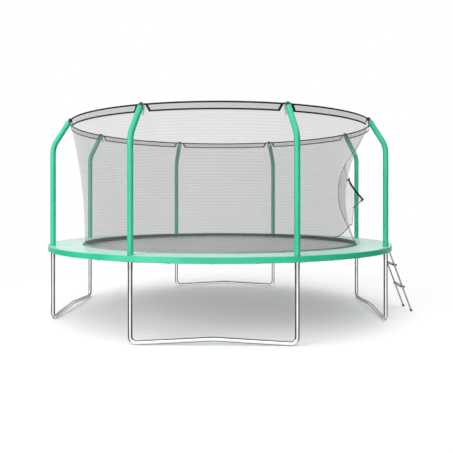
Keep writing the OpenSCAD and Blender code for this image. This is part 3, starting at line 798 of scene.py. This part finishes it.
def flap_r(h):
    """How far out the loose edge of the rear half is."""
    if h > zip_top:
        return edge_x(h)
    if h > flap_tip:
        down = (zip_top - h) / (zip_top - flap_tip)
        return mixed(zip_arc(zip_top), cone_r(flap_tip) + flap_out, down ** 1.6)
    return cone_r(h) + flap_out * eased(1 - (flap_tip - h) / 0.13)


def flap_y(h):
    return mixed(-0.030, flap_offset, eased((zip_top - h) / 0.29))


def front_half(s, t):
    h = net_rise * t
    edge = edge_x(h) - slider_room
    post_r = math.hypot(*wall_point(-door_side, t)[:2])
    stop = math.degrees(math.atan2(seam_y, edge))
    return around(mixed(-door_side, stop, s), mixed(post_r, edge, eased(s) * 0.5 + s * 0.5),
                  foot_h + h)


def rear_half(s, t):
    foot = flap_lift * (1 - (1 - s) ** 1.6) * min(1, s * 1.2)
    h = mixed(foot, net_rise, t)
    post_r = math.hypot(*wall_point(door_side, h / net_rise)[:2])
    if h > zip_top:
        stop = math.degrees(math.atan2(seam_y, edge_x(h)))
    else:
        stop = math.degrees(math.atan2(flap_y(h), flap_r(h)))
    ripple = 0.012 * math.sin(h * 9 + s * 3) * s * (1 - s)
    radius = mixed(post_r, flap_r(h), eased(s)) + ripple
    return around(mixed(door_side, stop, s), radius, foot_h + h)


front_cloth = cloth_grid("door_front_cloth", door_columns, door_rows, front_half,
                         (door_width, net_rise))
rear_cloth = cloth_grid("door_rear_cloth", door_columns, door_rows, rear_half,
                        (door_width, net_rise))
for piece in (front_cloth, rear_cloth):
    piece.data.materials.append(mesh_cloth)
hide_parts("net_door")


# ---- Zip, strap and tags ----
# Black zip tape sewn along both edges of the doorway, with a two-way slider on the front one.
# A strap with a clip closes over it from the loose edge, and yellow tags mark its ends.
def thicken(piece, thickness, offset):
    alone(piece)
    layer = piece.modifiers.new("thickness", "SOLIDIFY")
    layer.thickness, layer.offset = thickness, offset
    bpy.ops.object.modifier_apply(modifier=layer.name)


def edge_tape(name, points, width, across, thick=0.0016):
    """A flat strip along the points, laid the way that across(t) says."""
    count = len(points) - 1
    tape = cloth_grid(name, 1, count, lambda s, t: tuple(
        Vector(points[round(t * count)]) + Vector(across(t)) * width * s), (width, 1.5))
    thicken(tape, thick, 0)
    return tape


def on_flap_edge(h):
    return rear_half(1, (h - flap_lift) / (net_rise - flap_lift))


front_line = [(edge_x(h), -0.030, foot_h + h) for h in [net_rise * k / 64 for k in range(65)]]
front_tape = edge_tape("zip_tape_front", front_line, 0.026, lambda t: (0, -1, 0))
flap_top = zip_top - 0.012
rear_line = [on_flap_edge(flap_top - (flap_top - flap_lift) * k / 40) for k in range(41)]
foot_line = [rear_half(1 - k / 24, 0) for k in range(1, 25)]
rear_tape = edge_tape("zip_tape_rear", rear_line + foot_line, 0.014,
                      lambda t: (0, 0.9, 0) if t < 0.62 else (0, 0.2, 0.9))
for piece in (front_tape, rear_tape):
    piece.data.materials.append(webbing)
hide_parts("zip_tape")


def zip_coil(name, line):
    """The zip's wound coil, along a line."""
    radius, pitch, coil_steps = 0.0020, 0.0055, 8
    points, run = [], 0
    for a, b in zip(line[:-1], line[1:]):
        a, b = Vector(a), Vector(b)
        along = (b - a).normalized()
        first = (Vector((1, 0, 0)) - along * along.dot(Vector((1, 0, 0)))).normalized()
        second = along.cross(first)
        steps = max(1, round((b - a).length / pitch * coil_steps))
        for k in range(steps):
            turn = 2 * math.pi * (run + k) / coil_steps
            points.append(a.lerp(b, k / steps)
                          + (first * math.cos(turn) + second * math.sin(turn)) * radius)
        run += steps
    return rod(name, points, radius=0.0008, sides=0)


front_coil = zip_coil("zip_coil_front", [(x, y + 0.0018, z) for x, y, z in front_line[1:58]])
rear_coil = zip_coil("zip_coil_rear", [(x, y - 0.0022, z) for x, y, z in rear_line[2:]])
coil_black = moulded("coil_black", (0.012, 0.012, 0.013), (0.028, 0.028, 0.030), rough=0.35)
for piece in (front_coil, rear_coil):
    piece.data.materials.append(coil_black)
strap_line = [(x + 0.008, y, z) for x, y, z in
              [on_flap_edge(flap_tip - 0.012 + 0.30 * k / 16) for k in range(17)]]
strap = edge_tape("door_strap_band", strap_line, 0.032, lambda t: (0.68, 0.70, 0.15), thick=0.009)
cord_steps = [(0.0, 0.004, 0.004), (-0.045, 0.0, -0.040), (-0.105, -0.004, -0.085),
              (-0.128, -0.004, -0.110)]
strap_cord = rod("door_strap_cord", [Vector(strap_line[0]) + Vector(step) for step in cord_steps],
                 radius=0.0045)
clips = []
for spot in (strap_line[0], strap_line[-1]):
    alone()
    bpy.ops.mesh.primitive_cylinder_add(vertices=16, radius=0.009, depth=0.060, location=spot)
    clip = bpy.context.object
    bpy.ops.object.mode_set(mode="EDIT")
    bpy.ops.mesh.bevel(offset=0.002, segments=1)
    alone(clip)
    clip.data.transform(Matrix.Rotation(math.radians(50), 4, "Y"))
    bpy.ops.object.transform_apply(location=True, rotation=True, scale=True)
    clips.append(clip)
strap_clips = join_all(clips, "door_strap_clips")
for piece in (strap, strap_cord):
    piece.data.materials.append(webbing)
strap_clips.data.materials.append(cap_plastic)
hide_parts("door_strap")


def tag(spot, size, edge):
    """A woven label, a small box with soft edges."""
    alone()
    bpy.ops.mesh.primitive_cube_add(size=1, location=spot)
    label = bpy.context.object
    bpy.ops.object.mode_set(mode="EDIT")
    bpy.ops.transform.resize(value=size)
    bpy.ops.mesh.bevel(offset=edge, segments=2)
    alone(label)
    bpy.ops.object.transform_apply(location=True, rotation=True, scale=True)
    return label


tag_y = -0.0655
tags = [tag((edge_x(h) + 0.003, tag_y, foot_h + h), (0.020, 0.004, 0.026), 0.001)
        for h in (zip_top - 0.01, 0.795, 0.315, 0.185)]
tags += [tag((x + 0.010, y - 0.006, z - 0.012), (0.010, 0.012, 0.020), 0.002)
         for x, y, z in (strap_line[0], strap_line[-2])]
door_tags = join_all(tags, "door_tags")
tag_yellow = woven("tag_yellow", (0.55, 0.42, 0.03), (0.80, 0.62, 0.08), thread=0.002, rough=0.6)
door_tags.data.materials.append(tag_yellow)
dress(yellow_zinc, "zip_slider")
trimmings = [front_tape, rear_tape, front_coil, rear_coil, strap, strap_cord, strap_clips,
             door_tags]
for piece in [front_cloth, rear_cloth] + trimmings:
    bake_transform(piece)

# ---- Flaps at the ring ----
# In each bay the net is folded over the rod. The fold is a black webbing tunnel; the flap under
# it is net, with webbing along its foot and across its slanted ends.
flap_top_r, flap_foot_r = 2.0640, 2.0520
flap_low, flap_high = ring_h - 0.082, ring_h - 0.006
flap_length, flap_depth = 1.50, 0.090


def flap_ends(t):
    """Angle from the post to the flap's end, at a share t of its height."""
    return math.degrees((0.085 - 0.040 * t) / ring_r)


def flap_point(s, t, out=0.0):
    gap = flap_ends(t)
    radius = mixed(flap_foot_r, flap_top_r, t ** 1.4) + out
    return around(mixed(gap, bay_angle - gap, s), radius, mixed(flap_low, flap_high, t))


flap = cloth_grid("flap_net", 40, 5, flap_point, (flap_length, flap_depth))
bands = [cloth_grid("flap_foot", 40, 1, lambda s, t: flap_point(s, t * 0.24, 0.0012),
                    (flap_length, 0.018)),
         cloth_grid("flap_start", 1, 5, lambda s, t: flap_point(s * 0.022, t, 0.0014),
                    (0.028, flap_depth)),
         cloth_grid("flap_stop", 1, 5, lambda s, t: flap_point(1 - s * 0.022, t, 0.0014),
                    (0.028, flap_depth))]
tunnel_end = flap_ends(1) - 0.1
tunnel_points = [around(mixed(tunnel_end, bay_angle - tunnel_end, k / 40), ring_r - 0.0015,
                        ring_h - 0.002) for k in range(41)]
tunnel = rod("flap_tunnel", tunnel_points, radius=0.0098, sides=3)
band = join_all(bands, "flap_bands")
thicken(band, 0.0014, 1)
for piece in (flap, band, tunnel):
    turn_piece(piece, first_post)
flaps = join_all(all_round(flap, bays, "flap"), "ring_flaps")
flap_bands = join_all(all_round(band, bays, "band"), "ring_flap_bands")
tunnels = join_all(all_round(tunnel, bays, "tunnel"), "ring_tunnels")
flaps.data.materials.append(mesh_cloth)
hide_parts("net_flaps")
for piece in (flap_bands, tunnels):
    piece.data.materials.append(webbing)
for piece in (flaps, flap_bands, tunnels):
    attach(piece, "frame")


# ---- Corner patches ----
# Pale patches of plain cloth reinforce the net's top beside each post, with a short white loop
# round the end of the rod.
def patch_point(post, way, s, t):
    """A point of the patch on one side of a post, which way gives as -1 or 1."""
    share = mixed(0.935, 0.999, t)
    radius = math.hypot(*wall_point(post + way, share)[:2]) + 0.002
    from_post = 0.10 + mixed(0.15, 0.95, t) * (s if way > 0 else 1 - s)
    return around(post + way * from_post, radius, foot_h + net_rise * share)


loop_r = 0.0108
patches, rod_loops = [], []
for post in posts:
    for way in (-1, 1):
        # The two sides of the doorway's bay have no patch.
        if post * way != -door_side:
            patches.append(cloth_grid("patch", 4, 4, lambda s, t: patch_point(post, way, s, t),
                                      (0.05, 0.1)))
        points = [around(post + way * 0.85, ring_r + loop_r * math.cos(a),
                         ring_h + loop_r * math.sin(a))
                  for a in [math.radians(30 * k) for k in range(12)]]
        rod_loops.append(rod("rod_loop", points, radius=0.003, closed=True, sides=1))
corner_patches = join_all(patches, "corner_patches")
corner_ties = join_all(rod_loops, "corner_ties")
white_cloth = woven("white_cloth", (0.55, 0.55, 0.55), (0.78, 0.78, 0.78), thread=0.003,
                    rough=0.8, coords="UV")
for piece in (corner_patches, corner_ties):
    piece.data.materials.append(white_cloth)
    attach(piece, "frame")

# ---- Hem and its hooks ----
# A doubled band of black webbing along the inside of the net's foot, with the pale mesh turned
# down over its outer face. Elastic loops on it hook into the mat.
(_, _, hem_low), (hem_out, _, hem_high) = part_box("net_hem")
hem_outline = [(hem_out - 0.0036, hem_low), (hem_out - 0.0006, hem_low), (hem_out, hem_low + 0.002),
               (hem_out - 0.0008, hem_low + 0.008), (hem_out - 0.0008, hem_high - 0.008),
               (hem_out, hem_high - 0.002), (hem_out - 0.0006, hem_high),
               (hem_out - 0.0036, hem_high), (hem_out - 0.0040, hem_high - 0.002),
               (hem_out - 0.0030, hem_high - 0.008), (hem_out - 0.0030, hem_low + 0.008),
               (hem_out - 0.0040, hem_low + 0.002)]
hem = turned("net_hem_band", hem_outline, 192)
hem_webbing = woven("hem_webbing", (0.030, 0.030, 0.032), (0.068, 0.068, 0.070),
                    thread=0.0030, rough=0.75, bump=0.5)
hem.data.materials.append(hem_webbing)
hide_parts("net_hem")
turned_down = turned("net_hem_mesh", [(hem_out + 0.0002, hem_low + 0.001),
                                      (hem_out + 0.0008, hem_low + 0.001),
                                      (hem_out + 0.0008, hem_high),
                                      (hem_out + 0.0002, hem_high)], 192)
hem_mesh = woven("hem_mesh", (0.33, 0.33, 0.333), (0.43, 0.43, 0.435), thread=0.006, rough=0.85)
turned_down.data.materials.append(hem_mesh)
hook_count, hook_r = 48, hem_out - 0.002
hook_foot, hook_top = mat_high + 0.0005, hem_low + 0.012
hook_side = [(-0.006, hook_top), (-0.006, hook_foot + 0.006), (-0.002, hook_foot + 0.0022)]
hook = rod("hem_hook", [(hook_r, y, z) for y, z in hook_side]
           + [(hook_r, -y, z) for y, z in reversed(hook_side)], radius=0.0021, sides=1)
turn_piece(hook, first_post + bay_angle / 12)
hooks = join_all(all_round(hook, hook_count, "hook"), "hem_loops")
hooks.data.materials.append(cap_plastic)
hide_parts("hem_hooks")
for piece in (hem, turned_down, hooks):
    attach(piece, "jump_mat")

# ---- Ladder ----
# Two light tubes with a flat hook each over the rail, two oval treads bolted between them,
# dark plastic ends on the treads and rubber feet.
ladder_grey = metal("ladder_grey", (0.34, 0.35, 0.36), (0.46, 0.47, 0.48), rough=(0.14, 0.24))
dress(ladder_grey, "ladder_rail_front", "ladder_rail_rear")
tread_grey = metal("tread_grey", (0.50, 0.51, 0.52), (0.66, 0.67, 0.68), rough=(0.30, 0.42),
                   bump=0.1)
dress(tread_grey, "ladder_step_upper", "ladder_step_lower")
dress(bright_zinc, "step_bolts")
foot_rubber = moulded("foot_rubber", (0.010, 0.010, 0.010), (0.022, 0.022, 0.022), rough=0.7)
dress(foot_rubber, "ladder_feet")
